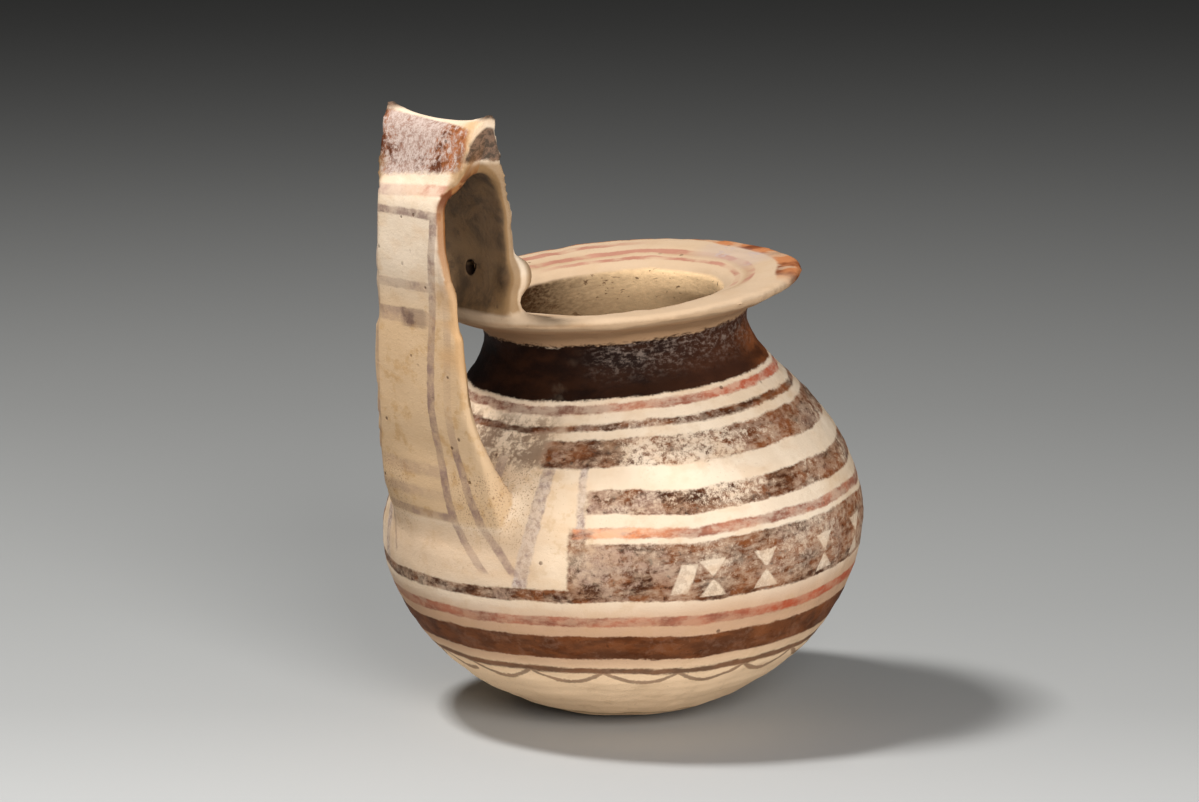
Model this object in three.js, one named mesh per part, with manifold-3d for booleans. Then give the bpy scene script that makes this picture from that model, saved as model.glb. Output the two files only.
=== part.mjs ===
// A wide-mouthed clay jug: a round belly without a foot, a short neck, a broad
// everted rim, and one tall strap handle that rises from the belly, forms a crest
// with two corner horns and comes down onto the rim. Millimetres, +Z up, handle
// towards -X. The origin is the centre of the small flat that it rests on.
import * as THREE from 'three';
import { mergeVertices } from 'three/addons/utils/BufferGeometryUtils.js';
import Module from 'manifold-3d';

const wasm = await Module();
wasm.setup();

// Belly and neck
const BELLY_RADIUS = 78.6;
const BELLY_HEIGHT = 131;
const WALL = 5.5;
const FLOOR = 7;
const REST_RADIUS = 13;

// Rim and mouth
const THROAT_RADIUS = 33.8;
const RIM_RADIUS = 60.5;
const RIM_RISE = 11.9;
const LIP = 3.6;
const MOUTH_DROP = 1.8;
const MOUTH_ROUND = 5;

// The pot was shaped leaning: the rings tilt towards the handle, more at the rim
const LEAN_BASE = THREE.MathUtils.degToRad(2);
const LEAN_RIM = THREE.MathUtils.degToRad(6);
const DRIFT = 0.045;

// Handle
const STRAP_REACH = 12.7;
const STEM_SETBACK = 7.4;
const ROOT_LEVEL = 58;
const HANDLE_LEVEL = 200;
const STRAP = 4.6;
const CREST_DEPTH = 16.7;
const WAIST_HALF = 16.5;
const ROOT_HALF = 33;
const HORN_HALF = 27.5;
const FOOT_HALF = 22;
const HORN_RISE = 4.4;

// Pierced hole and the clay pellets beside it
const HOLE_RADIUS = 2.3;
const HOLE_ABOVE_RIM = 14;
const HOLE_ASIDE = 2.6;
const PELLET_RADIUS = 5.5;
const PELLET_ABOVE_RIM = 13;
const PELLET_INSET = 2.4;

// Fineness of the facets
const AROUND = 54;
const BELLY_STEPS = 19;
const ALONG = 36;

const solidOf = (geometry) => {
  geometry.deleteAttribute('normal');
  geometry.deleteAttribute('uv');
  const merged = mergeVertices(geometry, 1e-4);
  const vertProperties = Float32Array.from(merged.attributes.position.array);
  const triVerts = Uint32Array.from(merged.index.array);
  return new wasm.Manifold(new wasm.Mesh({ numProp: 3, vertProperties, triVerts }));
};

const geometryOf = (solid) => {
  const mesh = solid.getMesh();
  const geometry = new THREE.BufferGeometry();
  geometry.setAttribute('position', new THREE.BufferAttribute(mesh.vertProperties, 3));
  geometry.setIndex(new THREE.BufferAttribute(mesh.triVerts, 1));
  geometry.computeVertexNormals();
  return geometry;
};

// The belly's outline, as shares of its radius and of its height
const BELLY_SHARES = [
  [0, 0], [0.28, 0.0168], [0.509, 0.0656], [0.7, 0.141], [0.855, 0.2405],
  [0.963, 0.359], [1, 0.473], [0.9695, 0.588], [0.884, 0.695], [0.757, 0.786],
  [0.6425, 0.8626], [0.5725, 0.92], [0.549, 0.965], [0.5496, 1],
];
const bellyPoints = BELLY_SHARES.map(([r, h]) => {
  return new THREE.Vector2(r * BELLY_RADIUS, h * BELLY_HEIGHT);
});
const neckFoot = bellyPoints[bellyPoints.length - 1];

// Smooth curve from the pole outwards; the mirrored first point keeps the pole level
const smoothFromPole = (points, steps) => {
  const mirrored = new THREE.Vector2(-points[1].x, points[1].y);
  const curve = new THREE.SplineCurve([mirrored, ...points]);
  const start = 1 / points.length;
  const out = [];
  for (let i = 0; i <= steps; i += 1) {
    out.push(curve.getPoint(start + (1 - start) * (i / steps)));
  }
  out[0].x = 0;
  return out;
};
const outerBelly = smoothFromPole(bellyPoints, BELLY_STEPS);

// The inside follows the outside at the wall's thickness, up to the shoulder
const offsetInwards = (points, depth, floorDepth) => points.map((p, i) => {
  if (i === 0) return new THREE.Vector2(0, p.y + floorDepth);
  const after = points[Math.min(i + 1, points.length - 1)];
  const along = after.clone().sub(points[i - 1]).normalize();
  const near = Math.max(0, 1 - p.x / (0.6 * BELLY_RADIUS));
  const d = depth + (floorDepth - depth) * near;
  return new THREE.Vector2(Math.max(p.x - along.y * d, 0), p.y + along.x * d);
});
const SHOULDER_KEPT = 11;
const throatLevel = BELLY_HEIGHT + RIM_RISE - MOUTH_ROUND - 7;
const innerPoints = offsetInwards(bellyPoints, WALL, FLOOR).slice(0, SHOULDER_KEPT);
const innerLast = innerPoints[innerPoints.length - 1];
innerPoints.push(new THREE.Vector2(
  THREE.MathUtils.lerp(innerLast.x, THROAT_RADIUS, 0.7),
  THREE.MathUtils.lerp(innerLast.y, throatLevel, 0.5),
));
innerPoints.push(new THREE.Vector2(THROAT_RADIUS, throatLevel));
const innerBelly = smoothFromPole(innerPoints, BELLY_STEPS - 2);

// The rim: underside, rounded lip, gently dished top, rounded mouth edge
const lipLevel = BELLY_HEIGHT + RIM_RISE;
const mouthLevel = lipLevel - MOUTH_DROP;
const rimCurve = new THREE.SplineCurve([
  new THREE.Vector2(neckFoot.x + 0.3 * (RIM_RADIUS - neckFoot.x), BELLY_HEIGHT + 0.28 * RIM_RISE),
  new THREE.Vector2(neckFoot.x + 0.65 * (RIM_RADIUS - neckFoot.x), BELLY_HEIGHT + 0.5 * RIM_RISE),
  new THREE.Vector2(RIM_RADIUS - 0.35 * LIP, lipLevel - LIP),
  new THREE.Vector2(RIM_RADIUS, lipLevel - 0.55 * LIP),
  new THREE.Vector2(RIM_RADIUS - 0.4 * LIP, lipLevel - 0.1 * LIP),
  new THREE.Vector2(RIM_RADIUS - LIP, lipLevel),
  new THREE.Vector2(THREE.MathUtils.lerp(THROAT_RADIUS, RIM_RADIUS, 0.5), mouthLevel + 1.2),
  new THREE.Vector2(THROAT_RADIUS + 1.1 * MOUTH_ROUND, mouthLevel - 0.1 * MOUTH_ROUND),
  new THREE.Vector2(THROAT_RADIUS + 0.4 * MOUTH_ROUND, mouthLevel - 0.45 * MOUTH_ROUND),
  new THREE.Vector2(THROAT_RADIUS, mouthLevel - 1.1 * MOUTH_ROUND),
]);
const rimPoints = rimCurve.getPoints(14);

// Lean of the ring at a level, and the place of a point of the upright pot
const leanAt = (level) => {
  const share = THREE.MathUtils.clamp(level / (0.88 * BELLY_HEIGHT), 0, 1);
  return Math.tan(THREE.MathUtils.lerp(LEAN_BASE, LEAN_RIM, share));
};
const leanGeometry = (geometry) => {
  const position = geometry.attributes.position;
  for (let i = 0; i < position.count; i += 1) {
    const x = position.getX(i);
    const level = position.getZ(i);
    position.setX(i, x - DRIFT * level);
    position.setZ(i, level + x * leanAt(level));
  }
  return geometry;
};
const turned = (profile) => {
  const geometry = new THREE.LatheGeometry(profile, AROUND);
  geometry.rotateX(Math.PI / 2);
  return solidOf(leanGeometry(geometry));
};

const vessel = turned([...outerBelly, ...rimPoints, ...innerBelly.reverse()]);

// The trimming body keeps the handle's root out of the hollow
const TRIM_COVER = 1.2;
const trimPoints = innerBelly.map((p) => new THREE.Vector2(p.x * 1.014, p.y)).reverse();
trimPoints[0].y -= TRIM_COVER;
trimPoints[0].x = 0;
const trimBody = turned([...trimPoints, new THREE.Vector2(0, trimPoints[trimPoints.length - 1].y)]);

// Handle outline. Across is 0 at the mouth side of the stem and 1 at the strap's
// farthest face. Up is 0 at the root, or at the rim for the stem, and 1 at the crest.
// Inward x and z go from the outer to the inner face, in units of the zone's
// thickness. Outer and inner width are shares of the way from the waist to the
// zone's full half width. Rise lifts the corners, wrap bends the strap round the pot.
const LEG_ROWS = [
  // across, up, inX, inZ, outerWidth, innerWidth, rise, wrap
  [0.623, 0, 1.6, 0.87, 0.86, 0.8, 0, 1],
  [0.676, 0.085, 2.02, 0.65, 0.84, 0.8, 0, 1],
  [0.742, 0.169, 2.15, 0.33, 0.77, 0.77, 0, 0.7],
  [0.77, 0.26, 1.35, -0.2, 0.67, 0.67, 0, 0.3],
  [0.852, 0.352, 1.13, -0.2, 0.45, 0.45, 0, 0.2],
  [0.893, 0.472, 1, -0.1, 0.36, 0.36, 0, 0.05],
  [0.915, 0.592, 0.98, -0.1, 0.27, 0.27, 0, 0],
  [0.984, 0.697, 0.98, 0, 0.06, 0.06, 0, 0],
  [1, 0.775, 1, 0, 0, 0, 0, 0],
  [0.981, 0.831, 1, -0.2, 0, 0, 0, 0],
];
const CREST_ROWS = [
  [0.846, 0.88, 0.245, -0.21, 0.5, 0.2, 0, 0],
  [0.78, 0.93, 0.24, -0.49, 0.66, 0.25, 0.1, 0],
  [0.723, 0.972, 0.22, -0.79, 0.77, 0.29, 0.45, 0],
  [0.632, 0.995, 0.138, -0.96, 0.93, 0.32, 0.9, 0],
  [0.566, 1, 0.09, -1, 1, 0.32, 1, 0],
  [0.475, 0.993, 0, -0.95, 0.95, 0.32, 0.9, 0],
  [0.425, 0.972, -0.012, -0.81, 0.82, 0.32, 0.4, 0],
  [0.362, 0.93, -0.036, -0.53, 0.73, 0.32, 0, 0],
  [0.274, 0.887, -0.096, -0.305, 0.59, 0.27, 0, 0],
];
const STEM_ROWS = [
  [0.173, 0.65, -0.65, -0.54, 0.6, 0.27, 0, 0],
  [0.079, 0.548, -0.91, -0.22, 0.31, 0.13, 0, 0],
  [0.025, 0.429, -0.98, -0.1, 0.09, 0.04, 0, 0],
  [0.003, 0.286, -0.96, 0, 0, 0, 0, 0],
  [0, 0.159, -0.98, 0.1, 0.04, 0.04, 0, 0.1],
  [-0.01, 0.071, -1.3, 0.1, 0.35, 0.27, 0, 0.5],
  [-0.03, 0.016, -1.9, 0.2, 0.8, 0.6, 0, 0.8],
  [-0.05, -0.045, -1.63, 0.07, 0.9, 0.6, 0, 1],
];
const rimDrift = DRIFT * lipLevel;
const rimX = -(RIM_RADIUS + rimDrift);
const rimTop = lipLevel - RIM_RADIUS * leanAt(lipLevel) + 0.6;
const stemX = rimX + STEM_SETBACK;
const farX = -(BELLY_RADIUS + STRAP_REACH);

const rowPoints = (rows, low, unit, fullHalf, wrapRadius) => rows.map((row) => {
  const [across, up, inX, inZ, outerWidth, innerWidth, rise, wrap] = row;
  const x = stemX + across * (farX - stemX);
  const z = low + up * (HANDLE_LEVEL - low);
  return {
    outer: new THREE.Vector3(x, THREE.MathUtils.lerp(WAIST_HALF, fullHalf, outerWidth), z),
    inner: new THREE.Vector3(
      x + inX * unit,
      THREE.MathUtils.lerp(WAIST_HALF, fullHalf, innerWidth),
      z + inZ * unit,
    ),
    shape: new THREE.Vector3(rise, wrap / wrapRadius, 0),
  };
});
const stations = [
  ...rowPoints(LEG_ROWS, ROOT_LEVEL, STRAP, ROOT_HALF, BELLY_RADIUS),
  ...rowPoints(CREST_ROWS, ROOT_LEVEL, CREST_DEPTH, HORN_HALF, BELLY_RADIUS),
  ...rowPoints(STEM_ROWS, rimTop, STRAP, FOOT_HALF, RIM_RADIUS),
];

// Section of the strap: place across the width and through the thickness
const SECTION = [];
const FLATS = 8;
for (let i = 0; i <= FLATS; i += 1) SECTION.push([-0.93 + 1.86 * (i / FLATS), 0]);
SECTION.push([0.985, 0.16], [1, 0.5], [0.985, 0.84]);
for (let i = 0; i <= FLATS; i += 1) SECTION.push([0.93 - 1.86 * (i / FLATS), 1]);
SECTION.push([-0.985, 0.84], [-1, 0.5], [-0.985, 0.16]);

const handleGeometry = () => {
  const curves = ['outer', 'inner', 'shape'].map((key) => {
    return new THREE.CatmullRomCurve3(stations.map((s) => s[key]), false, 'catmullrom', 0.5);
  });
  const positions = [];
  const ends = [0, ALONG];
  for (let i = 0; i <= ALONG; i += 1) {
    const [outer, inner, shape] = curves.map((curve) => curve.getPoint(i / ALONG));
    for (const [a, b] of SECTION) {
      const y = a * THREE.MathUtils.lerp(outer.y, inner.y, b);
      const corner = Math.abs(a) ** 2.4;
      const x = THREE.MathUtils.lerp(outer.x, inner.x, b) + shape.y * y * y * 0.5;
      const z = THREE.MathUtils.lerp(outer.z, inner.z, b);
      positions.push(x, y, z + shape.x * HORN_RISE * corner * (1 - b));
    }
  }
  const n = SECTION.length;
  const index = [];
  for (let i = 0; i < ALONG; i += 1) {
    for (let j = 0; j < n; j += 1) {
      const k = (j + 1) % n;
      index.push(i * n + j, (i + 1) * n + j, (i + 1) * n + k);
      index.push(i * n + j, (i + 1) * n + k, i * n + k);
    }
  }
  for (const end of ends) {
    const centre = positions.length / 3;
    let sum = [0, 0, 0];
    for (let j = 0; j < n; j += 1) {
      sum = sum.map((value, c) => value + positions[3 * (end * n + j) + c] / n);
    }
    positions.push(...sum);
    for (let j = 0; j < n; j += 1) {
      const k = (j + 1) % n;
      if (end === 0) index.push(centre, j, k);
      else index.push(centre, end * n + k, end * n + j);
    }
  }
  const geometry = new THREE.BufferGeometry();
  geometry.setAttribute('position', new THREE.Float32BufferAttribute(positions, 3));
  geometry.setIndex(index);
  return geometry;
};
let handle = solidOf(handleGeometry());
if (handle.volume() < 0) throw new Error('handle faces inwards');
handle = handle.subtract(trimBody);

// Pierced hole through the stem
const hole = new THREE.CylinderGeometry(HOLE_RADIUS, HOLE_RADIUS, 6 * STRAP, 20);
hole.rotateZ(Math.PI / 2);
hole.translate(stemX - 0.5 * STRAP, HOLE_ASIDE, rimTop + HOLE_ABOVE_RIM);

// Pellets on the mouth side of the stem, one near each edge
const pellets = [-1, 1].map((side) => {
  const pellet = new THREE.SphereGeometry(PELLET_RADIUS, 20, 12);
  const y = side * (WAIST_HALF - PELLET_INSET);
  pellet.translate(stemX - 0.2, y, rimTop + PELLET_ABOVE_RIM);
  return solidOf(pellet);
});

let jug = vessel.add(handle).subtract(solidOf(hole));
for (const pellet of pellets) jug = jug.add(pellet);

// The flat it rests on, cut where the round bottom is lowest
const baseCurve = (BELLY_SHARES[1][0] * BELLY_RADIUS) ** 2 / (2 * BELLY_SHARES[1][1] * BELLY_HEIGHT);
const lowest = jug.boundingBox().min[2];
const restLevel = lowest + REST_RADIUS ** 2 / (2 * baseCurve);
const below = new THREE.BoxGeometry(4 * BELLY_RADIUS, 4 * BELLY_RADIUS, 20);
below.translate(0, 0, restLevel - 10);
jug = jug.subtract(solidOf(below));
const restX = -baseCurve * Math.sin(LEAN_BASE);
jug = jug.translate([-restX, 0, -restLevel]);

const clay = new THREE.MeshStandardMaterial({ color: 0xd8b98c, roughness: 0.85, metalness: 0 });
const mesh = new THREE.Mesh(geometryOf(jug), clay);
mesh.name = 'jug';
const group = new THREE.Group();
group.add(mesh);
export default group;
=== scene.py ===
"""A leaning clay jug with a tall horned strap handle and worn bichrome bands."""

import math

import bmesh
import bpy
import numpy as np
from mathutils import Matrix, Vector


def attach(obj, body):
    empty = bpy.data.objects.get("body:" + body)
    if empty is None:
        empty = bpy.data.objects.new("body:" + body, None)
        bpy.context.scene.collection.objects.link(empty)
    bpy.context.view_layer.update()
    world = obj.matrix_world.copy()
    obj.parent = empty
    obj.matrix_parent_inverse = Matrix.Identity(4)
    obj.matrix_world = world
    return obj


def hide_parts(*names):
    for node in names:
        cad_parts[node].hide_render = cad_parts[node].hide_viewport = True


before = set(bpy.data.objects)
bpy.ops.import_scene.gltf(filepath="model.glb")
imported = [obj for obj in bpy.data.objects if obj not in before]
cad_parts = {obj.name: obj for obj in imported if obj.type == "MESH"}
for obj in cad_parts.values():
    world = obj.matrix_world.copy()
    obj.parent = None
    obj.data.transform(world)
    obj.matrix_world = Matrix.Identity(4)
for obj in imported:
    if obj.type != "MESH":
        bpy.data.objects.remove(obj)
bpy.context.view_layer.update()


# The pot: a thin-walled round belly, short neck and broad turned-out rim of fine
# clay, shaped on a slow wheel. Its rings tilt towards the handle, more at the rim.
MM = 0.001
BELLY_RADIUS, BELLY_HEIGHT, WALL, FLOOR = 78.6, 131.0, 5.5, 7.0
THROAT_RADIUS, RIM_RADIUS, RIM_RISE, LIP = 33.8, 60.5, 11.9, 3.6
MOUTH_ROUND, MOUTH_DROP, THROAT_DEPTH = 5.0, 1.8, 7.0
LEAN_BASE, LEAN_RIM, DRIFT = math.radians(2), math.radians(6), 0.045
LEAN_LEVEL = 0.88 * BELLY_HEIGHT
AROUND, OUTER_ROWS, RIM_ROWS, INNER_ROWS, HOLLOW_ROWS = 360, 150, 120, 120, 11
BELLY = np.array([
    (0, 0), (0.28, 0.0168), (0.509, 0.0656), (0.7, 0.141), (0.855, 0.2405), (0.963, 0.359),
    (1, 0.473), (0.9695, 0.588), (0.884, 0.695), (0.757, 0.786), (0.6425, 0.8626),
    (0.5725, 0.92), (0.549, 0.965), (0.5496, 1),
]) * (BELLY_RADIUS, BELLY_HEIGHT)


def spline(points, count, start=0.0):
    """Uniform Catmull-Rom curve through points a, b, c, d: half of
    2b + (c - a)t + (2a - 5b + 4c - d)t2 + (3b - a - 3c + d)t3 between b and c."""
    points = np.asarray(points, float)
    padded = np.vstack([2 * points[0] - points[1], points, 2 * points[-1] - points[-2]])
    s = np.linspace(start, 1, count) * (len(points) - 1)
    i = np.minimum(s.astype(int), len(points) - 2)
    t = (s - i)[:, None]
    a, b, c, d = (padded[i + k] for k in range(4))
    square = (2 * a - 5 * b + 4 * c - d) * t**2
    return 0.5 * (2 * b + (c - a) * t + square + (3 * b - a - 3 * c + d) * t**3)


def from_pole(points, count):
    """The curve through points from the axis outwards, level at the axis."""
    mirrored = np.vstack([points[1] * (-1, 1), points])
    out = spline(mirrored, count, 1 / len(points))
    out[0, 0] = 0
    return out


def lean_at(level):
    """Slope of the pot's rings: tan of the lean, growing evenly from base to neck."""
    share = np.clip(level / LEAN_LEVEL, 0, 1)
    return np.tan(LEAN_BASE + (LEAN_RIM - LEAN_BASE) * share)


def lean(p):
    """(x, y, h) of the upright pot to (x - drift h, y, h + x lean(h))."""
    x, y, h = p[..., 0], p[..., 1], p[..., 2]
    return np.stack([x - DRIFT * h, y, h + x * lean_at(h)], -1)


def upright(p):
    """The inverse of lean, by fixed-point steps on h, which settle within eight."""
    h = p[..., 2].copy()
    for _ in range(8):
        h = p[..., 2] - (p[..., 0] + DRIFT * h) * lean_at(h)
    return np.stack([p[..., 0] + DRIFT * h, p[..., 1], h], -1)


def grid_faces(rows, columns):
    """Quads of a rows by columns grid of points, closed across its columns."""
    i = np.arange(rows - 1)[:, None]
    j = np.arange(columns)[None, :]
    k, m = (j + 1) % columns, i + 1
    corners = (i * columns + j, i * columns + k, m * columns + k, m * columns + j)
    quads = np.stack(np.broadcast_arrays(*corners), -1).reshape(-1, 4)
    last = (rows - 1) * columns
    ends = [tuple(range(columns - 1, -1, -1)), tuple(range(last, last + columns))]
    return [tuple(q) for q in quads.tolist()] + ends


# The hollow follows the outside at the wall's thickness, deeper at the floor
outer = from_pole(BELLY, OUTER_ROWS)
steps = np.gradient(BELLY, axis=0)
steps /= np.linalg.norm(steps, axis=1)[:, None]
near_axis = np.clip(1 - BELLY[:, 0] / (0.6 * BELLY_RADIUS), 0, 1)
depth = WALL + (FLOOR - WALL) * near_axis
hollow = BELLY + np.stack([-steps[:, 1], steps[:, 0]], 1) * depth[:, None]
hollow[0] = 0, FLOOR
hollow = hollow[:HOLLOW_ROWS]
lip_level = BELLY_HEIGHT + RIM_RISE
mouth_level = lip_level - MOUTH_DROP
throat = (THROAT_RADIUS, lip_level - MOUTH_ROUND - THROAT_DEPTH)
shoulder = hollow[-1] + (throat - hollow[-1]) * (0.7, 0.5)
inner = from_pole(np.vstack([hollow, shoulder, throat]), INNER_ROWS)

# The rim's curve starts one point down the neck and ends in the throat. Its rows that
# would repeat the outside's or the inside's are left out again.
foot_r = BELLY[-1, 0]
rim = spline([
    BELLY[-2],
    BELLY[-1],
    (foot_r + 0.3 * (RIM_RADIUS - foot_r), BELLY_HEIGHT + 0.28 * RIM_RISE),
    (foot_r + 0.65 * (RIM_RADIUS - foot_r), BELLY_HEIGHT + 0.5 * RIM_RISE),
    (RIM_RADIUS - 0.35 * LIP, lip_level - LIP),
    (RIM_RADIUS, lip_level - 0.55 * LIP),
    (RIM_RADIUS - 0.4 * LIP, lip_level - 0.1 * LIP),
    (RIM_RADIUS - LIP, lip_level),
    (0.5 * (THROAT_RADIUS + RIM_RADIUS), mouth_level + 1.2),
    (THROAT_RADIUS + 1.1 * MOUTH_ROUND, mouth_level - 0.1 * MOUTH_ROUND),
    (THROAT_RADIUS + 0.4 * MOUTH_ROUND, mouth_level - 0.45 * MOUTH_ROUND),
    (THROAT_RADIUS, mouth_level - 1.1 * MOUTH_ROUND),
    throat,
], RIM_ROWS)[10:-4]
PROFILE = np.vstack([outer[:-1], rim, inner[::-1]])
turn = np.linspace(0, 2 * np.pi, AROUND, endpoint=False)
ring_r = np.maximum(PROFILE[:, 0], 0.02)[:, None]
ring_h = PROFILE[:, 1][:, None] * np.ones(AROUND)
vessel = lean(np.stack([ring_r * np.cos(turn), ring_r * np.sin(turn), ring_h], -1))


# The handle: one broad strap of rolled clay, pressed into the belly at its root,
# folded over into a crest with two raised corner horns, and brought down onto the rim.
# Rows give across, up, inward x and z, outer and inner width, rise and wrap.
STRAP_REACH, STEM_SETBACK, ROOT_LEVEL, HANDLE_LEVEL = 12.7, 7.4, 58.0, 200.0
STRAP, CREST_DEPTH, WAIST_HALF, ROOT_HALF = 4.6, 16.7, 16.5, 33.0
HORN_HALF, FOOT_HALF, HORN_RISE, ALONG = 27.5, 22.0, 4.4, 260
LEG = np.array([
    (0.623, 0, 1.6, 0.87, 0.86, 0.8, 0, 1),
    (0.676, 0.085, 2.02, 0.65, 0.84, 0.8, 0, 1),
    (0.742, 0.169, 2.15, 0.33, 0.77, 0.77, 0, 0.7),
    (0.77, 0.26, 1.35, -0.2, 0.67, 0.67, 0, 0.3),
    (0.852, 0.352, 1.13, -0.2, 0.45, 0.45, 0, 0.2),
    (0.893, 0.472, 1, -0.1, 0.36, 0.36, 0, 0.05),
    (0.915, 0.592, 0.98, -0.1, 0.27, 0.27, 0, 0),
    (0.984, 0.697, 0.98, 0, 0.06, 0.06, 0, 0),
    (1, 0.775, 1, 0, 0, 0, 0, 0),
    (0.981, 0.831, 1, -0.2, 0, 0, 0, 0),
])
CREST = np.array([
    (0.846, 0.88, 0.245, -0.21, 0.5, 0.2, 0, 0),
    (0.78, 0.93, 0.24, -0.49, 0.66, 0.25, 0.1, 0),
    (0.723, 0.972, 0.22, -0.79, 0.77, 0.29, 0.45, 0),
    (0.632, 0.995, 0.138, -0.96, 0.93, 0.32, 0.9, 0),
    (0.566, 1, 0.09, -1, 1, 0.32, 1, 0),
    (0.475, 0.993, 0, -0.95, 0.95, 0.32, 0.9, 0),
    (0.425, 0.972, -0.012, -0.81, 0.82, 0.32, 0.4, 0),
    (0.362, 0.93, -0.036, -0.53, 0.73, 0.32, 0, 0),
    (0.274, 0.887, -0.096, -0.305, 0.59, 0.27, 0, 0),
])
STEM = np.array([
    (0.173, 0.65, -0.65, -0.54, 0.6, 0.27, 0, 0),
    (0.079, 0.548, -0.91, -0.22, 0.31, 0.13, 0, 0),
    (0.025, 0.429, -0.98, -0.1, 0.09, 0.04, 0, 0),
    (0.003, 0.286, -0.96, 0, 0, 0, 0, 0),
    (0, 0.159, -0.98, 0.1, 0.04, 0.04, 0, 0.1),
    (-0.01, 0.071, -1.3, 0.1, 0.35, 0.27, 0, 0.5),
    (-0.03, 0.016, -1.9, 0.2, 0.8, 0.6, 0, 0.8),
    (-0.05, -0.045, -1.63, 0.07, 0.9, 0.6, 0, 1),
])
rim_top = lip_level - RIM_RADIUS * lean_at(lip_level) + 0.6
stem_x = -(RIM_RADIUS + DRIFT * lip_level) + STEM_SETBACK
far_x = -(BELLY_RADIUS + STRAP_REACH)


def stations(rows, low, unit, half, wrap_radius):
    """Columns outer x, z, half width, inner x, z, half width, rise, wrap in millimetres."""
    x = stem_x + rows[:, 0] * (far_x - stem_x)
    z = low + rows[:, 1] * (HANDLE_LEVEL - low)
    widths = WAIST_HALF + rows[:, 4:6] * (half - WAIST_HALF)
    inward = np.stack([x, z], 1) + rows[:, 2:4] * unit
    return np.column_stack([
        x, z, widths[:, 0], inward, widths[:, 1], rows[:, 6], rows[:, 7] / wrap_radius,
    ])


line = spline(np.vstack([
    stations(LEG, ROOT_LEVEL, STRAP, ROOT_HALF, BELLY_RADIUS),
    stations(CREST, ROOT_LEVEL, CREST_DEPTH, HORN_HALF, BELLY_RADIUS),
    stations(STEM, rim_top, STRAP, FOOT_HALF, RIM_RADIUS),
]), ALONG)

# The strap's section: a runs across its width, b through its thickness
FLAT_SHARE = 0.93
flat = np.linspace(-FLAT_SHARE, FLAT_SHARE, 26)
bend = np.linspace(0, np.pi, 12)[1:-1]
bulge = FLAT_SHARE + 0.07 * np.sin(bend)
a = np.concatenate([flat, bulge, flat[::-1], -bulge])
b = np.concatenate([0 * flat, 0.5 - 0.5 * np.cos(bend), 0 * flat + 1, 0.5 + 0.5 * np.cos(bend)])
column = [line[:, k][:, None] for k in range(8)]
y = a * (column[2] + (column[5] - column[2]) * b)
x = column[0] + (column[3] - column[0]) * b + 0.5 * column[7] * y * y
z = column[1] + (column[4] - column[1]) * b + column[6] * HORN_RISE * np.abs(a) ** 2.4 * (1 - b)

# The root stays inside the clay wall: no point goes deeper than a little over half of it
ROOT_DEPTH, ROOT_TOP = 0.6 * WALL, 95
place = upright(np.stack([x, y, z], -1))
reach = np.hypot(place[..., 0], place[..., 1])
wall_r = np.interp(place[..., 2], outer[:, 1], outer[:, 0]) - ROOT_DEPTH
push = np.where((place[..., 2] < ROOT_TOP) & (reach < wall_r), wall_r / np.maximum(reach, 1), 1)
place[..., :2] *= push[..., None]
strap = lean(place)


# The pellets: two small clay balls stuck to the mouth side of the stem, beside its
# edges. Then all the clay is pressed together into one body, smoothed where it was
# joined and left slightly uneven, as fingers leave it.
PELLET_RADIUS, PELLET_ABOVE_RIM, PELLET_INSET = 5.5, 12.6, 2.4
PELLET_FORM = (1.08, 1.1, 1.28)
VOXEL = 1.55
u = np.linspace(0, 2 * np.pi, 24, endpoint=False)
v = np.linspace(0.05, np.pi - 0.05, 14)[:, None]
ball = np.stack(np.broadcast_arrays(np.sin(v) * np.cos(u), np.sin(v) * np.sin(u), np.cos(v)), -1)
shells = [vessel, strap]
for side in (-1, 1):
    centre = (stem_x + 0.8, side * (WAIST_HALF - PELLET_INSET), rim_top + PELLET_ABOVE_RIM)
    shells.append(ball * PELLET_RADIUS * PELLET_FORM + centre)


def object_of(name, grids):
    """One mesh object of several closed grids of points in millimetres."""
    points, faces, start = [], [], 0
    for grid in grids:
        points.append(grid.reshape(-1, 3))
        faces += [tuple(v + start for v in f) for f in grid_faces(*grid.shape[:2])]
        start += len(points[-1])
    data = bpy.data.meshes.new(name)
    data.from_pydata((np.vstack(points) * MM).tolist(), [], faces)
    made = bpy.data.objects.new(name, data)
    bpy.context.scene.collection.objects.link(made)
    return made


def applied(made, name, kind, **settings):
    """Replaces the object's mesh by the mesh with one modifier applied."""
    modifier = made.modifiers.new(name, kind)
    for key, value in settings.items():
        setattr(modifier, key, value)
    seen = made.evaluated_get(bpy.context.evaluated_depsgraph_get())
    data = bpy.data.meshes.new_from_object(seen)
    made.modifiers.clear()
    made.data = data


def vertices_of(data):
    """The mesh's vertex positions as an array in millimetres."""
    values = np.empty(len(data.vertices) * 3)
    data.vertices.foreach_get("co", values)
    return values.reshape(-1, 3) / MM


def smoothstep(x, low, high):
    """3t2 - 2t3 with t = (x - low) / (high - low) kept in 0 to 1."""
    t = np.clip((x - low) / (high - low), 0, 1)
    return t * t * (3 - 2 * t)


def gap_to(values, samples):
    """Distance from each row of values to its nearest sample, and which sample that is."""
    gap, which = np.full(len(values), 1e9), np.zeros(len(values), int)
    for k, sample in enumerate(samples):
        d = np.hypot(values[:, 0] - sample[0], values[:, 1] - sample[1])
        which[d < gap] = k
        gap = np.minimum(gap, d)
    return gap, which


def off_pot(values):
    """Distance of points from the pot's own surface, before the handle joined it."""
    place = upright(values)
    return gap_to(np.stack([np.hypot(place[:, 0], place[:, 1]), place[:, 2]], 1), PROFILE)[0]


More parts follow.
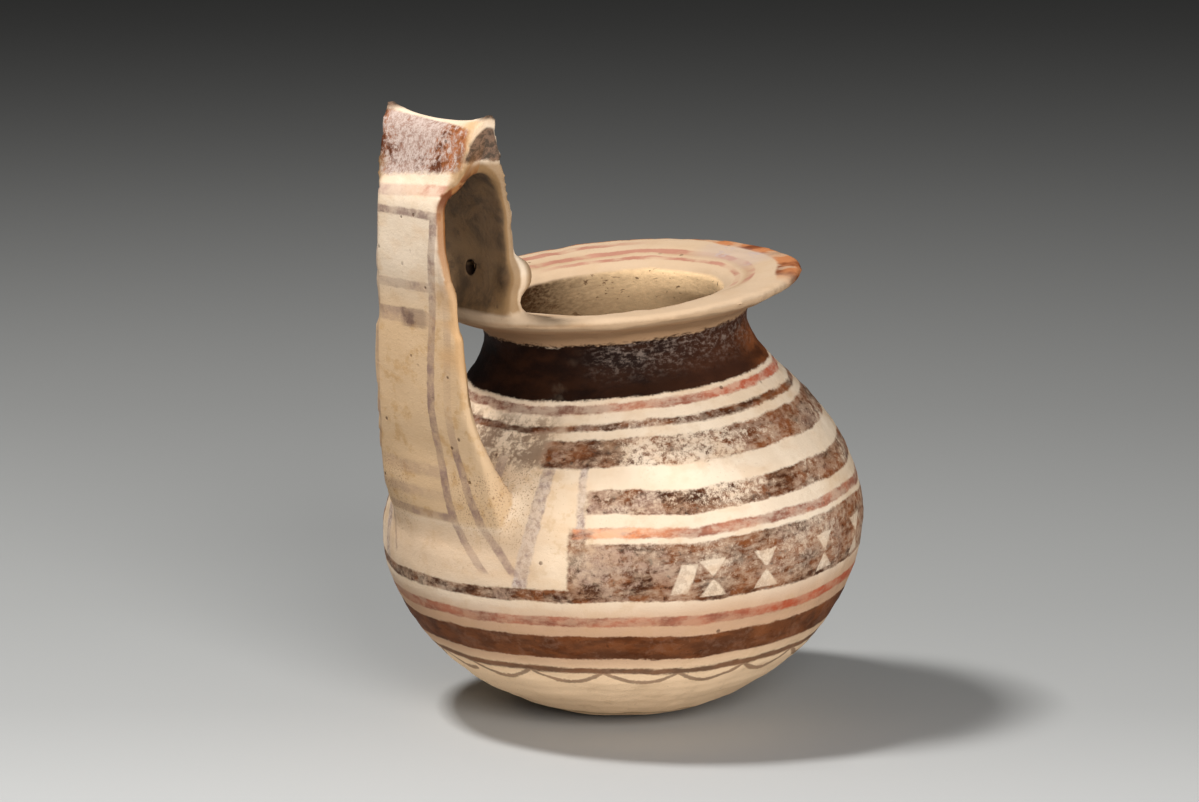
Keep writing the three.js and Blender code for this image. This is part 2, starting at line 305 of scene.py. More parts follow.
jug = object_of("jug_body", shells)
applied(jug, "join", "REMESH", mode="VOXEL", voxel_size=VOXEL * MM)
points = vertices_of(jug.data)
count = len(points)
edges = np.empty(len(jug.data.edges) * 2, dtype=np.int32)
jug.data.edges.foreach_get("vertices", edges)
edges = edges.reshape(-1, 2)
ends = np.concatenate([edges, edges[:, ::-1]])
degree = np.bincount(ends[:, 0], minlength=count)[:, None]


def averaged(values):
    """Mean of each vertex's neighbours."""
    columns = [np.bincount(ends[:, 0], values[ends[:, 1], k], count) for k in range(3)]
    return np.stack(columns, 1) / degree


# The grid's steps are evened out by turns of shrinking and swelling, then the handle's
# root and foot are pressed smoother than the rest
SHRINK, SWELL, PRESS = 0.5, -0.52, 0.6
for factor in (SHRINK, SWELL) * 4:
    points += factor * (averaged(points) - points)
seam = smoothstep(-off_pot(points), -3.6, -1.8)
root = smoothstep(-points[:, 0], 54, 60) * smoothstep(points[:, 2], 60, 68)
root *= smoothstep(-points[:, 2], -106, -98)
foot = smoothstep(-points[:, 0], 44, 48) * smoothstep(points[:, 2], 133, 136)
foot *= smoothstep(-points[:, 2], -147, -142)
pressed = (seam * root + foot)[:, None]
for _ in range(9):
    points += PRESS * pressed * (averaged(points) - points)

# Lumps: waves in every direction, by length and height, fainter on the strap
LUMPS = ((70, 0.12), (38, 0.1), (21, 0.07), (12, 0.05), (7, 0.035))
random = np.random.default_rng(7)
normals = np.empty(count * 3)
jug.data.vertices.foreach_get("normal", normals)
lumps = np.zeros(count)
for length, height in LUMPS:
    for _ in range(4):
        wave = random.normal(size=3)
        wave *= 2 * np.pi / (length * np.linalg.norm(wave))
        lumps += height * np.sin(points @ wave + random.uniform(0, 2 * np.pi))
lumps *= 0.8 - 0.35 * smoothstep(-points[:, 0], 60, 74) * smoothstep(points[:, 2], 80, 110)

# Wheel marks: shallow rings round the pot, deeper under the rim. The whole surface is
# sunk a little, so that no lump stands out of the solid's box.
SINK = 0.6
height = upright(points)[:, 2]
rings = np.sin(height * 1.9 + lumps * 4) * 0.05 + np.sin(height * 0.83 + 1.1) * 0.06
rings *= smoothstep(-off_pot(points), -1.5, -0.5) * (1 + smoothstep(height, 128, 134))
points += normals.reshape(-1, 3) * (lumps + rings - SINK)[:, None]
jug.data.vertices.foreach_set("co", (points * MM).ravel())


# The pierced hole: pushed through the stem with a stick while the clay was soft, and
# a little out of round
HOLE_RADIUS, HOLE_ABOVE_RIM, HOLE_ASIDE, DRILL_HALF = 2.3, 14.0, 2.6, 9
hole_x, hole_z = stem_x - 0.5 * STRAP, rim_top + HOLE_ABOVE_RIM
angle = np.linspace(0, 2 * np.pi, 28, endpoint=False)
ring = np.stack([
    0 * angle,
    HOLE_ASIDE + HOLE_RADIUS * np.cos(angle) * (1 + 0.08 * np.sin(3 * angle)),
    hole_z + HOLE_RADIUS * np.sin(angle) * (1 + 0.06 * np.cos(2 * angle)),
], 1)
drill_ends = [ring + (hole_x - DRILL_HALF, 0, 0), ring + (hole_x + DRILL_HALF, 0, 0)]
drill = object_of("drill", [np.stack(drill_ends)])
shape = bmesh.new()
shape.from_mesh(drill.data)
bmesh.ops.recalc_face_normals(shape, faces=shape.faces)
shape.to_mesh(drill.data)
shape.free()
applied(jug, "pierce", "BOOLEAN", operation="DIFFERENCE", object=drill, solver="EXACT")
bpy.data.objects.remove(drill)


# The guide lines of the painter, kept on the vertices in millimetres: the upright
# pot's own coordinates, and the strap's distance across, height and drawn lines
points = vertices_of(jug.data)
place = upright(points)
upright_place = np.stack([np.hypot(place[:, 0], place[:, 1]), place[:, 2]], 1)
pot_gap, pot_at = gap_to(upright_place, PROFILE)
on_handle = smoothstep(pot_gap, 0.9, 2.6) * (points[:, 0] < -40)
outer_gap, outer_at = gap_to(points[:, [0, 2]], line[:, :2])
inner_gap, _ = gap_to(points[:, [0, 2]], line[:, 3:5])
outside = inner_gap / np.maximum(outer_gap + inner_gap, 1e-6)
across, height = -points[:, 1], points[:, 2]
LINE_A = np.array([
    (52, 28), (56, 24.5), (59, 21), (67, 13.6), (74, 10), (84, 8.5), (94, 7), (110, 6.1),
    (133, 8.1), (146, 9.8), (165, 12.9), (176, 14),
])
LINE_B = np.array([
    (54, 37), (60, 31), (66, 26), (73, 21), (84, 17.9), (96, 14.8), (110, 14), (130, 16),
])
LINE_C = np.array([
    (60, -24), (66, -27), (75, -28), (85, -27), (92, -26), (102, -22.7), (117, -20.3),
    (137, -19), (150, -17.2), (165, -15.2),
])


def keep(name, kind, values):
    """Stores an array on the vertices as a named attribute."""
    field = jug.data.attributes.new(name, kind, "POINT")
    slot = "vector" if kind == "FLOAT_VECTOR" else "value"
    field.data.foreach_set(slot, np.ascontiguousarray(values, np.float32).ravel())


drawn = [across - np.interp(height, *way.T) for way in (LINE_A, LINE_B, LINE_C)]
keep("pot", "FLOAT_VECTOR", place)
keep("strap", "FLOAT_VECTOR", np.stack([across, height, on_handle], 1))
keep("lines", "FLOAT_VECTOR", np.stack(drawn, 1))
keep("outside", "FLOAT", outside)
keep("hollow", "FLOAT", pot_at >= len(PROFILE) - len(inner))
keep("along", "FLOAT", outer_at / ALONG)

# Into the shared frame: the middle of the small resting flat is the origin
SHIFT_X, SHIFT_Z = 3.84, -0.69
points = points + (SHIFT_X, 0, SHIFT_Z)
points[:, 2] = np.maximum(points[:, 2], 0)
jug.data.vertices.foreach_set("co", (points * MM).ravel())
jug.data.polygons.foreach_set("use_smooth", np.ones(len(jug.data.polygons), bool))
jug.data.update()
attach(jug, "root")
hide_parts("jug")


# The clay and its paint: fine pale clay, and over it thin slips of iron-rich earth,
# brown to black and dull red, brushed on as bands, lines and reserved motifs. Ages in
# the ground have flaked the slip, left a pale lilac-grey crust and darkened the clay.
# Some darker and lighter places are painted shade and light, each said where it stands.
def rgb(red, green, blue):
    """Screen colour 0 to 255 as linear light."""
    return tuple(((c / 255 + 0.055) / 1.055) ** 2.4 for c in (red, green, blue)) + (1.0,)


class Val:
    """A socket in a node tree; arithmetic on it adds Math nodes."""

    tree = None

    def __init__(self, socket):
        self.socket = socket

    @classmethod
    def node(cls, kind, out=0, inputs=(), **settings):
        made = cls.tree.nodes.new(kind)
        for key, value in settings.items():
            setattr(made, key, value)
        for key, value in dict(inputs).items():
            if isinstance(value, Val):
                cls.tree.links.new(value.socket, made.inputs[key])
            else:
                made.inputs[key].default_value = value
        return Val(made.outputs[out])

    def math(self, kind, other=0.0, clamp=False):
        return Val.node("ShaderNodeMath", 0, {0: self, 1: other}, operation=kind, use_clamp=clamp)

    def __add__(self, other):
        return self.math("ADD", other)

    def __sub__(self, other):
        return self.math("SUBTRACT", other)

    def __mul__(self, other):
        return self.math("MULTIPLY", other)

    def __rsub__(self, other):
        return (self * -1.0) + other

    __radd__ = __add__
    __rmul__ = __mul__

    def abs(self):
        return self.math("ABSOLUTE")

    def most(self, other):
        return self.math("MAXIMUM", other)

    def ramp(self, low, high, to_low=0.0, to_high=1.0):
        """to_low at low, to_high at high, with a smooth step between."""
        ends = {0: self, 1: low, 2: high, 3: to_low, 4: to_high}
        return Val.node("ShaderNodeMapRange", 0, ends, interpolation_type="SMOOTHSTEP")

    def within(self, low, high, soft=0.4):
        """1 from low to high and 0 outside, with edges that are soft wide to each side."""
        return self.ramp(low - soft, low + soft) * self.ramp(high + soft, high - soft)


def field(name, out):
    """An attribute kept on the vertices."""
    return Val.node("ShaderNodeAttribute", out, attribute_name=name)


def parts(vector):
    """The three parts of a vector."""
    made = Val.tree.nodes.new("ShaderNodeSeparateXYZ")
    Val.tree.links.new(vector.socket, made.inputs[0])
    return [Val(made.outputs[k]) for k in range(3)]


def noise(vector, scale, detail=3.0, rough=0.55, warp=0.0):
    """Fractal noise, 0 to 1, at a scale in waves to the millimetre."""
    inputs = {
        "Vector": vector, "Scale": scale, "Detail": detail, "Roughness": rough,
        "Distortion": warp,
    }
    return Val.node("ShaderNodeTexNoise", 0, inputs)


def mix(factor, low, high):
    """The colour low where factor is 0 and high where it is 1."""
    return Val.node("ShaderNodeMix", 2, {0: factor, 6: low, 7: high}, data_type="RGBA")


def tree_of(material):
    """Empties the material's node tree and returns the socket that its shader goes into."""
    material.use_nodes = True
    Val.tree = material.node_tree
    Val.tree.nodes.clear()
    return Val.tree.nodes.new("ShaderNodeOutputMaterial").inputs["Surface"]


clay = bpy.data.materials.new("painted_clay")
surface = tree_of(clay)
pot = field("pot", "Vector")
px, py, ph = parts(pot)
strap_t, strap_z, handle = parts(field("strap", "Vector"))
line_a, line_b, line_c = parts(field("lines", "Vector"))
outer_side = field("outside", "Fac")
along = field("along", "Fac")
azimuth = Val.node("ShaderNodeMath", 0, {0: py, 1: px}, operation="ARCTAN2").math("DEGREES")
side = azimuth.abs()
around = (px * px + py * py).math("SQRT")
brush = Val.node("ShaderNodeCombineXYZ", 0, {0: px, 1: py, 2: ph * 2.3})

# Unevenness of the hand, of the slip and of its wear
sway = (noise(pot, 0.03, 2.0) - 0.5) * 2.4
hand = (noise(brush, 0.16, 4.0, 0.6) - 0.5) * 1.7 + (noise(pot, 1.1, 3.0, 0.6) - 0.5) * 0.9
level = ph + side.ramp(132.0, 108.0) * ph.ramp(112.0, 86.0) * 2.5 + sway + hand
grain = noise(pot, 0.5, 6.0, 0.78)
blots = noise(pot, 0.045, 3.0, 0.6)
strokes = noise(brush, 0.085, 3.0, 0.55)
streaks = noise(brush, 0.5, 3.0, 0.6)
crust_drive = noise(pot, 0.1, 4.0, 0.68, 0.4)
specks = noise(pot, 1.7, 3.0, 0.6)
worn_middle = side.within(96.0, 134.0, 8.0) * ph.within(82.0, 104.0, 3.0)
flake = (grain * 0.5 + specks * 0.14 + blots * 0.36 + worn_middle * 0.065).ramp(0.515, 0.615)
left_crust = side.within(120.0, 143.0, 7.0) * ph.within(60.0, 92.0, 3.0)
crust = (crust_drive * 0.7 + grain * 0.3 + left_crust * 0.07).ramp(0.5, 0.59)

# Bands of dark slip round the pot
on_pot = 1.0 - handle
body = on_pot * ph.ramp(132.4, 131.4)
beyond_panel = (side + hand).ramp(142.8, 141.4)
neck_edge = level + (streaks - 0.5) * 3.5
dark = level.ramp(114.2, 115.0) * neck_edge.ramp(131.6, 130.2)
dark = dark.most(level.within(106.2, 108.0) * noise(brush, 0.06, 2.0).ramp(0.3, 0.42, 0.5, 1.0))
dark = dark.most(level.within(96.8, 103.8) * (side + hand * 2.0).ramp(154.8, 151.0))
dark = dark.most(level.within(83.6, 90.6) * (side + hand * 2.0).ramp(139.4, 137.6))
frieze = level.within(56.0, 74.8) * beyond_panel
dark = dark.most(frieze).most(level.within(56.0, 60.0))
dark = dark.most(level.within(35.0, 43.7)).most(level.within(28.8, 31.2, 0.5) * 0.9)
left_edge = side + hand * 0.8
dark = dark.most(left_edge.within(138.6, 142.9, 0.5) * level.within(58.0, 79.0, 2.0))
border_top = left_edge.within(138.9, 141.0, 0.5) * level.within(77.0, 97.5, 1.0)
arcs = ((azimuth + 163.8 + 360.0) * (1 / 21.5)).math("FRACT") * 2.0 - 1.0
festoon = level - (arcs * arcs * 4.4 + 25.0)
dark = dark.most(festoon.abs().ramp(1.05, 0.45) * 0.7)

# Motifs left in the clay's own colour in the frieze: a bar, then pairs of triangles
beat = ((side - side.within(88.0, 102.0, 5.0) * 3.0) - 109.0) * (1 / 17.0) + 0.5
cell = beat.math("FRACT") - 0.5
up = (level - 63.2) * (1 / 6.2)
triangle = (cell.abs() * 4.6 - up.abs()).ramp(0.06, -0.14)
triangle = triangle * up.abs().ramp(1.0, 0.9) * up.abs().ramp(0.08, 0.2)
reserved = triangle * side.ramp(114.0, 113.0) * side.ramp(4.0, 6.0)
lean_bar = side + (level - 63.0) * 0.28
bar = (lean_bar - 116.0).abs().ramp(2.3, 1.7) * up.abs().ramp(0.86, 0.74)
reserved = reserved.most(bar) * frieze
dark = dark * (1.0 - reserved * grain.ramp(0.58, 0.42, 0.5, 0.9)) * body

# Lines of dull red slip, brighter on the right and orange where it lies thin
red_high = level.within(110.9, 113.4)
red_low = level.within(47.4, 50.8)
red_mid = level.within(76.5, 79.6) * beyond_panel * side.ramp(143.0, 141.5)
red = red_high.most(red_low).most(red_mid)

# The panel beside the handle's root: a slanting lilac line and speckled wear; behind the strap,
# painted shadow of the strap with speckled dirt
slant = side - (93.0 - level) * 0.137
lilac = (slant + hand * 0.6 - 150.2).abs().ramp(2.2, 1.5) * level.within(60.0, 97.0, 2.0)
lilac = lilac.most(border_top) * on_pot
panel_wear = side.within(152.0, 172.0, 3.0) * ph.within(72.0, 98.0, 3.0) * specks.ramp(0.56, 0.62)
behind_strap_shade_and_dirt = side.ramp(147.0, 155.0) * ph.within(96.0, 110.0, 3.0) * on_pot

# The strap's own lines: across it by height, down it by their distance
leg = along.ramp(0.52, 0.5)
strap_level = strap_z + sway * 0.5 + hand * 0.6
inside_a = line_a.ramp(1.0, -0.5)
CROSSES = (
    (146.6, 149.6, 0.4, 0.75), (135.6, 140.4, 0.4, 0.7), (87.0, 91.0, 0.8, 0.4),
    (79.5, 83.0, 0.8, 0.4), (73.2, 76.0, 0.4, 0.9),
)
crosses = strap_level.within(169.9, 172.4)
for low, high, soft, strength in CROSSES:
    crosses = crosses.most(strap_level.within(low, high, soft) * inside_a * strength)
crosses = crosses * line_c.ramp(-0.5, 0.5)
down = (line_a + hand * 0.5).abs().ramp(2.1, 1.4)
fading = strap_z.ramp(112.0, 98.0, 0.35, 1.0)
down = down.most((line_b + hand * 0.5).abs().ramp(2.1, 1.4) * fading)
down = down.most((line_c + hand * 0.3).abs().ramp(1.1, 0.5) * 0.75)
down = down * strap_z.within(59.0, 172.0, 1.0) * px.ramp(-40.0, -44.0)
front_face = outer_side.ramp(0.5, 0.62) * handle * leg
root_face = px.ramp(-52.0, -56.0) * on_pot * strap_z.ramp(96.0, 90.0)
faded = (noise(pot, 0.11, 4.0, 0.65) * 0.7 + grain * 0.3).ramp(0.38, 0.56, 1.0, 0.45)
strap_lines = crosses.most(down) * front_face.most(root_face) * faded
purple = strap_level.within(134.6, 140.8) * strap_t.within(-6.5, 5.5, 1.5) * front_face

# The crest: rust-brown slip under a heavy pale crust, its near end painted dark
crest_low = strap_z - strap_t * 0.1 + hand * 1.5
crest_edge = along + strap_t * 0.0015 + hand * 0.006
crest = crest_low.ramp(182.2, 184.0) * crest_edge.ramp(0.512, 0.5) * front_face
crest = crest * (strap_t + hand * 2.0).ramp(22.0, 18.5)
ochre = (strap_t + hand * 2.0).within(16.0, 23.0, 3.0) * strap_z.ramp(180.0, 184.0) * front_face
strap_red = strap_level - strap_t * 0.07
strap_red = strap_red.within(176.2, 179.6, 0.5) * front_face
end_patch = (strap_z + hand * 3.0).ramp(187.0, 189.0) * handle
end_patch = end_patch * outer_side.within(0.1, 0.93, 0.03)
end_patch = end_patch * strap_t.abs().ramp(15.0, 18.0)

# Rings on the rim's top, kept best on the right and at the back
mouth_edge = ph.ramp(134.5, 136.0) * around.ramp(40.5, 38.5)
rim_face = on_pot * ph.ramp(138.0, 139.0).most(mouth_edge) * around.ramp(34.0, 35.0)
ring = around + sway * 0.7 + hand * 0.8
open_side = azimuth.ramp(-66.0, -50.0) * azimuth.ramp(160.0, 145.0)
lip_ring = (ring + azimuth.within(-60.0, 14.0, 12.0) * 4.5).ramp(56.4, 57.6) * open_side
inner_rings = ring.within(42.6, 45.4).most(ring.within(38.6, 40.6) * azimuth.ramp(95.0, 60.0))
inner_rings = inner_rings.most(ring.within(50.0, 53.6) * azimuth.ramp(30.0, 60.0))
inner_rings = inner_rings * open_side * noise(brush, 0.07, 3.0).ramp(0.4, 0.55, 0.2, 0.95)
lip_kept = noise(pot, 0.08, 3.0).ramp(0.34, 0.46, 0.45, 1.0)
rim_patch = azimuth.within(-28.0, 12.0, 6.0) * around.within(42.0, 53.0, 2.0) * rim_face

cream = mix(noise(pot, 0.022, 4.0, 0.6).ramp(0.35, 0.65), rgb(222, 197, 168), rgb(232, 211, 186))
cream = mix(strokes.ramp(0.48, 0.7) * 0.4, cream, rgb(214, 180, 144))
# The lower belly painted darker and warmer, partly the clay's own tone and partly painted shade;
# the very bottom painted lighter, as painted light thrown up from the floor.
lower_shade_and_bounce = ph.ramp(58.0, 46.0) * on_pot
lower_shade_and_bounce_tone = mix(ph.ramp(36.0, 26.0), rgb(196, 156, 124), rgb(255, 220, 180))
cream = mix(lower_shade_and_bounce * 0.95, cream, lower_shade_and_bounce_tone)
# The strap and the root's face darker and yellower: partly the clay's own tone, partly painted
# shade on the lower strap.
strap_tone_and_shade = handle.most(root_face * 0.4) * strap_z.within(62.0, 146.0, 14.0)
cream = mix(strap_tone_and_shade * 0.8, cream, rgb(200, 164, 122))
stained = noise(pot, 0.13, 4.0, 0.7).ramp(0.52, 0.66) * (strap_tone_and_shade * 0.5 + 0.16)
cream = mix(stained, cream, rgb(188, 148, 100))
# Painted shade under the rim: the neck's top and the rim's underside darkened where the rim hides
# them from the light above.
under_rim_shade = ph.within(130.0, 141.2, 0.6) * around.within(41.5, 63.0, 1.2)
cream = mix(under_rim_shade * 0.92, cream, rgb(158, 122, 88))
# Painted shade on the rim's face: its top darkened where the lamp above lights it more than the
# body.
cream = mix(rim_face * 0.8, cream, rgb(184, 155, 124))
cream = mix(panel_wear * 0.6, cream, rgb(134, 98, 70))
# Painted shadow of the strap on the shoulder beside it, mixed with speckled dirt.
speckled_grain = (crust_drive * 0.5 + grain * 0.5).ramp(0.44, 0.56)
cream = mix(behind_strap_shade_and_dirt * speckled_grain * 0.8, cream, rgb(110, 82, 62))
root_tan = side.ramp(145.0, 155.0) * level.within(58.0, 80.0, 6.0) * on_pot
cream = mix(root_tan * 0.55, cream, rgb(190, 158, 126))
grit = specks.ramp(0.66, 0.72) * blots.ramp(0.42, 0.6)
cream = mix(grit * 0.7, cream, rgb(128, 92, 64))

brown = mix(strokes.ramp(0.38, 0.64), rgb(68, 36, 19), rgb(122, 70, 38))
rusty = side.ramp(112.0, 72.0) * noise(brush, 0.06, 3.0).ramp(0.44, 0.58)
brown = mix(rusty * 0.5, brown, rgb(142, 80, 42))
neck_zone = ph.ramp(113.6, 114.6) * on_pot
neck_tone = mix(side.ramp(78.0, 120.0), rgb(54, 31, 21), rgb(17, 9, 6))
brown = mix(neck_zone * side.ramp(48.0, 72.0) * 0.9, brown, neck_tone)
crusted = crust * (0.5 + left_crust * 0.35) * (1.0 - neck_zone) * ph.ramp(42.0, 58.0, 0.34, 1.0)
brown = mix(crusted, brown, mix(grain.ramp(0.4, 0.6), rgb(144, 112, 94), rgb(178, 150, 131)))
dusty = (noise(brush, 0.11, 5.0, 0.72) * 0.6 + grain * 0.4).ramp(0.44, 0.6)
dusty = dusty * level.within(54.0, 106.0)
brown = mix(dusty * 0.6, brown, rgb(154, 114, 86))
bloom = neck_zone * (grain * 0.6 + streaks * 0.4).ramp(0.47, 0.62)
bloom = bloom * ph.ramp(117.0, 128.0) * side.within(30.0, 138.0, 10.0)
brown = mix(bloom * 0.5, brown, rgb(146, 128, 116))
brown = mix(grain.ramp(0.42, 0.36) * 0.7, brown, rgb(40, 22, 14))
brown = mix(ph.ramp(50.0, 42.0) * 0.4, brown, rgb(100, 54, 27))
lost = flake * ph.ramp(46.0, 62.0, 0.06, 0.8) * (1.0 - neck_zone)
lost = lost * left_crust.ramp(0.0, 1.0, 1.0, 0.55) * (1.0 - frieze * 0.4)
lost = lost * side.ramp(150.0, 140.0, 0.4, 1.0)
thin_slip = (noise(brush, 0.22, 4.0, 0.7) * 0.6 + blots * 0.4).ramp(0.42, 0.6, 1.0, 0.72)
thin_slip = thin_slip.most(neck_zone).most(ph.ramp(52.0, 46.0) * 0.97)

red_slip = mix(strokes.ramp(0.36, 0.64), rgb(132, 76, 58), rgb(172, 106, 80))
red_slip = mix(side.ramp(112.0, 84.0) * red_low.most(red_high) * 0.75, red_slip, rgb(182, 78, 46))
orange = red_mid * side.ramp(112.0, 132.0) * strokes.ramp(0.4, 0.55)
red_slip = mix(orange, red_slip, rgb(222, 138, 88))
red_slip = mix(red_high * side.ramp(128.0, 142.0) * 0.8, red_slip, rgb(92, 46, 34))
red_kept = (noise(brush, 0.12, 4.0, 0.65) * 0.7 + grain * 0.3).ramp(0.4, 0.58, 0.95, 0.5)
violet = mix(grain.ramp(0.42, 0.58), rgb(142, 118, 110), rgb(186, 168, 158))
rust = mix(crust_drive.ramp(0.4, 0.6), rgb(92, 49, 28), rgb(164, 98, 56))
crest_crust = (crust_drive * 0.5 + grain * 0.5 - (strap_t + 6.0).abs() * 0.0075).ramp(0.33, 0.46)
crest_grain = (grain * 0.6 + specks * 0.4).ramp(0.4, 0.58)
pale_crust = mix(crest_grain, rgb(158, 130, 117), rgb(200, 180, 168))
rust = mix(crest_crust * 0.95, rust, pale_crust)

# The paint goes on in layers, each over the last
paint = cream
paint = mix(lilac * faded * 0.95, paint, violet)
paint = mix(red * body * red_kept, paint, red_slip)
paint = mix(dark * (1.0 - lost) * thin_slip, paint, brown)
paint = mix(strap_lines * 0.85, paint, mix(strokes, rgb(104, 78, 72), rgb(160, 130, 118)))
paint = mix(purple * faded * 0.75, paint, rgb(92, 66, 60))
red_tone = mix(strap_t.ramp(-12.0, 10.0), rgb(176, 142, 130), rgb(182, 120, 98))
paint = mix(strap_red * faded * 0.8, paint, red_tone)
paint = mix(ochre * 0.6, paint, rgb(206, 156, 96))
paint = mix(crest, paint, rust)
end_tone = mix(grain.ramp(0.4, 0.6), rgb(40, 24, 16), rgb(116, 86, 68))
paint = mix(end_patch * 0.92, paint, end_tone)
lip_tone = mix(strokes.ramp(0.4, 0.6), rgb(118, 62, 34), rgb(180, 116, 74))
paint = mix(lip_ring * rim_face * lip_kept, paint, lip_tone)
paint = mix(inner_rings * rim_face, paint, mix(strokes, rgb(146, 88, 70), rgb(190, 142, 120)))
paint = mix(rim_patch * crust.most(0.45) * 0.8, paint, rgb(176, 156, 148))

# Bare places and painted shade: the throat, painted light on one wall and shade on the
# other and deeper down; the loop's inner faces painted dark as shade; the strap's thin
# edges, bare clay with painted shade; the pierced hole painted dark as shade
hollow_side = on_pot * ph.within(6.0, 138.5, 1.0) * around.ramp(35.6, 34.6)
hollow_side = hollow_side.most(field("hollow", "Fac"))
# Painted shade deep in the throat, and painted light and shade across it: lighter on the right
# wall, darker on the left.
deep_throat_shade = ph.ramp(136.0, 120.0) * hollow_side
throat_light_and_shade = azimuth.ramp(112.0, 12.0) * 0.95 + (streaks - 0.5) * 0.5
paint = mix(hollow_side, paint, mix(throat_light_and_shade, rgb(58, 36, 18), rgb(236, 200, 154)))
scratches = noise(brush, 0.3, 3.0, 0.6, 0.5).ramp(0.62, 0.68)
paint = mix(hollow_side * scratches * 0.8, paint, rgb(84, 58, 38))
paint = mix(deep_throat_shade * 0.35, paint, rgb(128, 96, 64))
# Painted shade: the stem's face inside the loop, where the strap and crest keep the light off,
# painted dark brown.
loop_side = handle * outer_side.ramp(0.45, 0.3) * strap_z.ramp(100.0, 120.0)
loop_shade_tone = mix(crust_drive.ramp(0.35, 0.6), rgb(54, 34, 16), rgb(98, 70, 42))
paint = mix(loop_side * 0.92, paint, loop_shade_tone)
# The stem's thin edges bare darker clay; the crest's end face under its dark patch painted darker
# as shade.
edge_side = (1.0 - leg).most(strap_t.abs().ramp(15.0, 18.0))
stem_edge_and_shade = handle * outer_side.within(0.2, 0.8, 0.1) * edge_side
stem_edge_and_shade = stem_edge_and_shade * strap_z.ramp(188.0, 185.5) * strap_z.ramp(174.0, 180.0).most(1.0 - leg)
crest_foot_shade = handle * outer_side.within(0.1, 0.93, 0.03) * strap_t.abs().ramp(15.0, 18.0)
stem_edge_and_shade = stem_edge_and_shade.most(crest_foot_shade * strap_z.within(176.0, 187.5, 1.5))
paint = mix(stem_edge_and_shade * 0.85, paint, rgb(146, 114, 78))
# Painted shade: the pierced hole's wall painted near black, as the dark inside it.
aside, above = strap_t + HOLE_ASIDE, strap_z - hole_z
bore = (aside * aside + above * above).math("SQRT")
paint = mix(bore.ramp(2.9, 2.3) * handle * (1.0 - leg), paint, rgb(30, 18, 10))
# The strap's near thin edge: orange-brown clay above, and lower down painted shade darkening it.
thin_edge = handle * outer_side.within(0.1, 0.8, 0.06) * strap_z.within(120.0, 186.0, 8.0)
thin_edge = thin_edge * strap_t.ramp(9.0, 13.0) * leg
edge_tone_and_shade = mix(strap_z.ramp(140.0, 165.0), rgb(196, 154, 108), rgb(160, 104, 56))
paint = mix(thin_edge * 0.8, paint, edge_tone_and_shade)
chips = strap_z.within(173.0, 185.0, 3.0) * noise(pot, 0.2, 2.0).ramp(0.4, 0.5)
paint = mix(thin_edge * chips * 0.8, paint, rgb(96, 44, 24))

# Surface: fine grit, pits, scratches and the slight step of flaked slip
pits = Val.node("ShaderNodeTexVoronoi", 0, {"Vector": pot, "Scale": 0.13, "Randomness": 1.0})
pit = pits.ramp(0.11, 0.05) * noise(pot, 0.07, 1.0).ramp(0.5, 0.6)
paint = mix(pit * 0.75, paint, rgb(96, 68, 48))
bumps = streaks * 0.14 + grain * 0.3 + specks * 0.1 - pit * 0.6 - dark * lost * 0.15
bumps = bumps + noise(pot, 0.14, 3.0) * 0.4
normal = Val.node("ShaderNodeBump", 0, {"Height": bumps, "Strength": 0.6, "Distance": 0.0009})
roughness = (grain - 0.5) * 0.4 + 0.74 - dark * 0.08
shader = Val.node("ShaderNodeBsdfPrincipled", 0, {
    "Base Color": paint, "Roughness": roughness, "Normal": normal, "Specular IOR Level": 0.06,
})
Val.tree.links.new(shader.socket, surface)
jug.data.materials.clear()
jug.data.materials.append(clay)


# The camera: 40 degrees round from the front and 10 above. These were set by
# laying the outline over the photograph, because fits of the height did not agree.
CAMERA_AZIMUTH, CAMERA_ELEVATION, CAMERA_FAR = math.radians(-40), math.radians(10), 1.5
AIM = Vector((-8.5 + SHIFT_X, 4.9, 101.9 + SHIFT_Z)) * MM
PIXELS_PER_METRE, PHOTO_WIDTH, SENSOR = 3085.0, 1199.0, 36.0
away = Vector((
    -math.sin(CAMERA_AZIMUTH) * math.cos(CAMERA_ELEVATION),
    math.cos(CAMERA_AZIMUTH) * math.cos(CAMERA_ELEVATION),
    -math.sin(CAMERA_ELEVATION),
))
camera = bpy.data.objects.new("camera", bpy.data.cameras.new("camera"))
bpy.context.scene.collection.objects.link(camera)
camera.location = AIM - away * CAMERA_FAR
camera.rotation_euler = away.to_track_quat("-Z", "Y").to_euler()
camera.data.sensor_width = SENSOR
camera.data.lens = SENSOR * PIXELS_PER_METRE * CAMERA_FAR / PHOTO_WIDTH
bpy.context.scene.camera = camera
bpy.context.scene.view_settings.view_transform = "Standard"


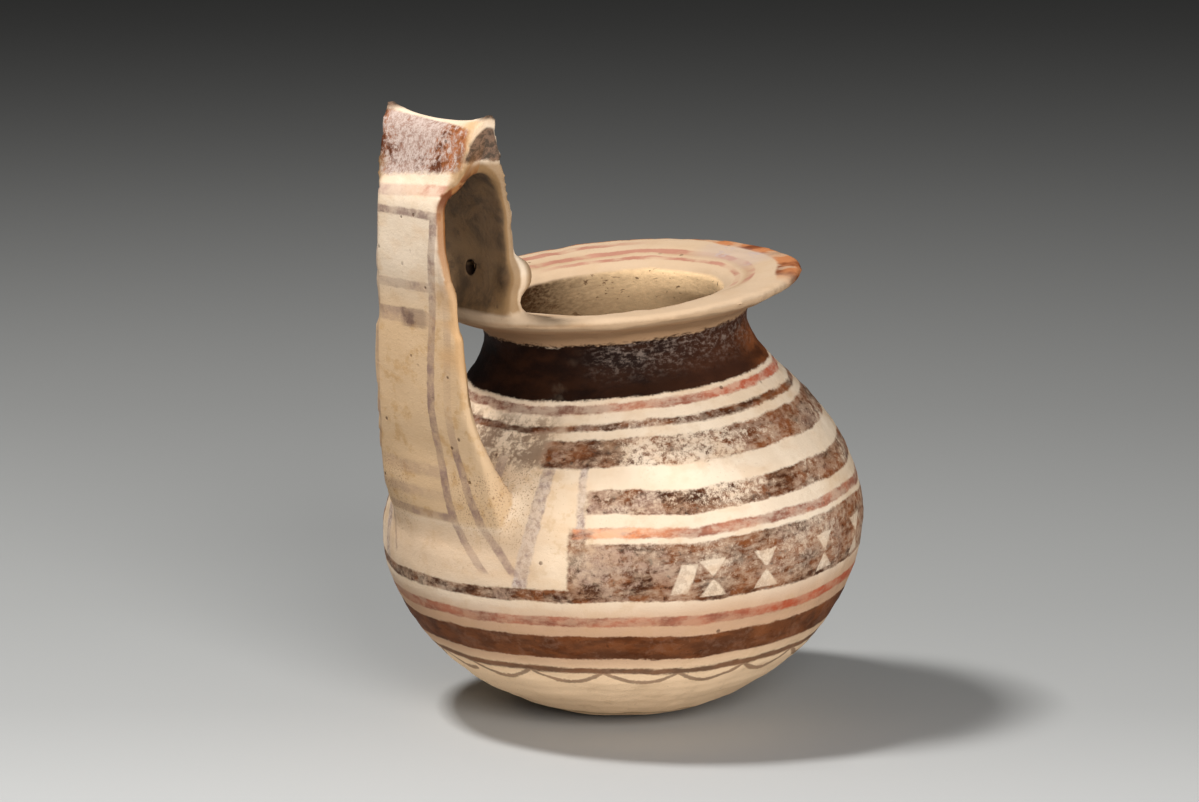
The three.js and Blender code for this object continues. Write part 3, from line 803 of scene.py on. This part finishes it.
# The stage: one wide sheet of matt paper, pale near the jug and darker far behind it,
# the darkening painted shade for light falling off. Its tones are grey values by the
# metres behind the jug's middle.
FLOOR_HALF = 7.0
TONES = [
    (-0.30, 198), (-0.10, 181), (0.0, 168), (0.15, 160), (0.56, 149), (1.25, 141),
    (2.4, 118), (4.0, 94),
]
view = np.array((away.x, away.y)) / math.hypot(away.x, away.y)
right = np.array((view[1], -view[0]))
corners = [
    (*(view * behind * FLOOR_HALF + right * aside * FLOOR_HALF), 0.0)
    for behind, aside in ((-1, -1), (-1, 1), (1, 1), (1, -1))
]
floor_data = bpy.data.meshes.new("floor")
floor_data.from_pydata(corners, [], [(0, 1, 2, 3)])
floor = bpy.data.objects.new("floor", floor_data)
bpy.context.scene.collection.objects.link(floor)
paper = bpy.data.materials.new("paper")
surface = tree_of(paper)
fx, fy, _ = parts(Val.node("ShaderNodeTexCoord", "Object"))
depth = fx * float(view[0]) + fy * float(view[1])
tone = rgb(*[TONES[0][1]] * 3)
for (low, _), (high, grey) in zip(TONES, TONES[1:]):
    share = Val.node("ShaderNodeMapRange", 0, {0: depth, 1: low, 2: high})
    tone = mix(share, tone, rgb(grey, grey, grey - 2))
sheen = Val.node("ShaderNodeBsdfPrincipled", 0, {
    "Base Color": tone, "Roughness": 0.95, "Specular IOR Level": 0.0,
})
Val.tree.links.new(sheen.socket, surface)
floor_data.materials.append(paper)


# The lamps: a strong one high on the left, a broad soft one from the front, and a
# little light from all round. Both lamps point at the jug's middle.
LAMP_AIM, WORLD_LIGHT = Vector((0, 0, 0.09)), 0.08


def lamp(name, place, size, power):
    """A soft area light at (right, away, up) from the jug as the camera sees it."""
    light = bpy.data.lights.new(name, "AREA")
    light.size, light.energy = size, power
    made = bpy.data.objects.new(name, light)
    bpy.context.scene.collection.objects.link(made)
    made.location = (*(right * place[0] + view * place[1]), place[2])
    made.rotation_euler = (LAMP_AIM - made.location).to_track_quat("-Z", "Y").to_euler()


lamp("key", place=(-0.58, -0.05, 1.35), size=0.2, power=20)
lamp("front", place=(0.5, -1.65, 0.7), size=0.8, power=33)
world = bpy.data.worlds.new("soft")
bpy.context.scene.world = world
world.use_nodes = True
world.node_tree.nodes["Background"].inputs[0].default_value = (1, 1, 1, 1)
world.node_tree.nodes["Background"].inputs[1].default_value = WORLD_LIGHT
